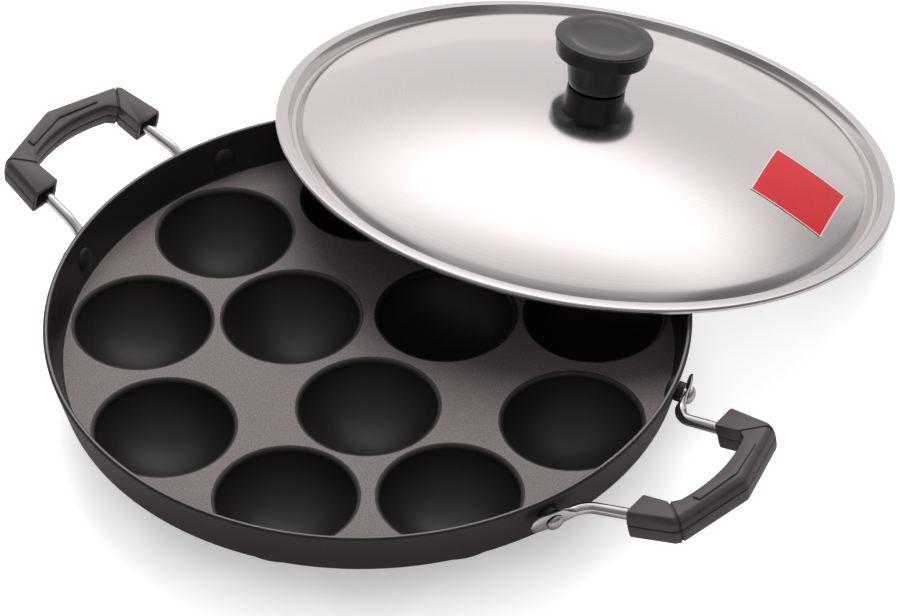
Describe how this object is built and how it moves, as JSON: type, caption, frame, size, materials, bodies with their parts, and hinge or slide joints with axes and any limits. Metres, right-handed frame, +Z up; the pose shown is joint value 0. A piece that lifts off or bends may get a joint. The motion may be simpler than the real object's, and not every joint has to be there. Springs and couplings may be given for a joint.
{
  "type": "paniyaram pan",
  "caption": "Non-stick pan with round cavities under a low flared wall, wire handles with moulded grips, and a domed steel lid with a knob leaning on its rim.",
  "frame": {"origin": "centre of the plate's top face, on the pan's axis", "axes": "+Z up along the pan's axis; +X to the right and +Y away from the viewer in the picture; the lid leans towards +X +Y"},
  "size_m": [0.3373, 0.3399, 0.0805],
  "materials": {
    "nonstick": "semi-matte non-stick coating on cast aluminium",
    "bakelite": "semi-matte moulded bakelite",
    "knob_bakelite": "glossy moulded bakelite",
    "chrome": "bright drawn wire",
    "satin_steel": "satin",
    "stainless": "polished, finely brushed flange",
    "black_spacer": "matte",
    "brass": "satin",
    "red_label": "glossy printed label, blank"
  },
  "bodies": {
    "pan": {"pan_body": "nonstick", "left_handle_rod": "chrome", "left_grip_upper": "bakelite", "left_grip_lower": "bakelite", "left_grip_screw": "satin_steel", "left_rivet_front": "satin_steel", "left_rivet_rear": "satin_steel", "left_spacer_front": "black_spacer", "left_spacer_rear": "black_spacer", "right_handle_rod": "chrome", "right_grip_upper": "bakelite", "right_grip_lower": "bakelite", "right_grip_screw": "satin_steel", "right_rivet_front": "satin_steel", "right_rivet_rear": "satin_steel", "right_spacer_front": "black_spacer", "right_spacer_rear": "black_spacer"},
    "lid": {"lid_shell": "stainless", "lid_knob": "knob_bakelite", "knob_insert": "brass", "knob_washer": "satin_steel", "knob_screw": "satin_steel", "lid_label": "red_label"}
  },
  "joints": [
    {"name": "lid_lift", "type": "slide", "parent": "pan", "child": "lid", "axis": [0, 0, 1], "range_m": [0, 0.12]}
  ]
}
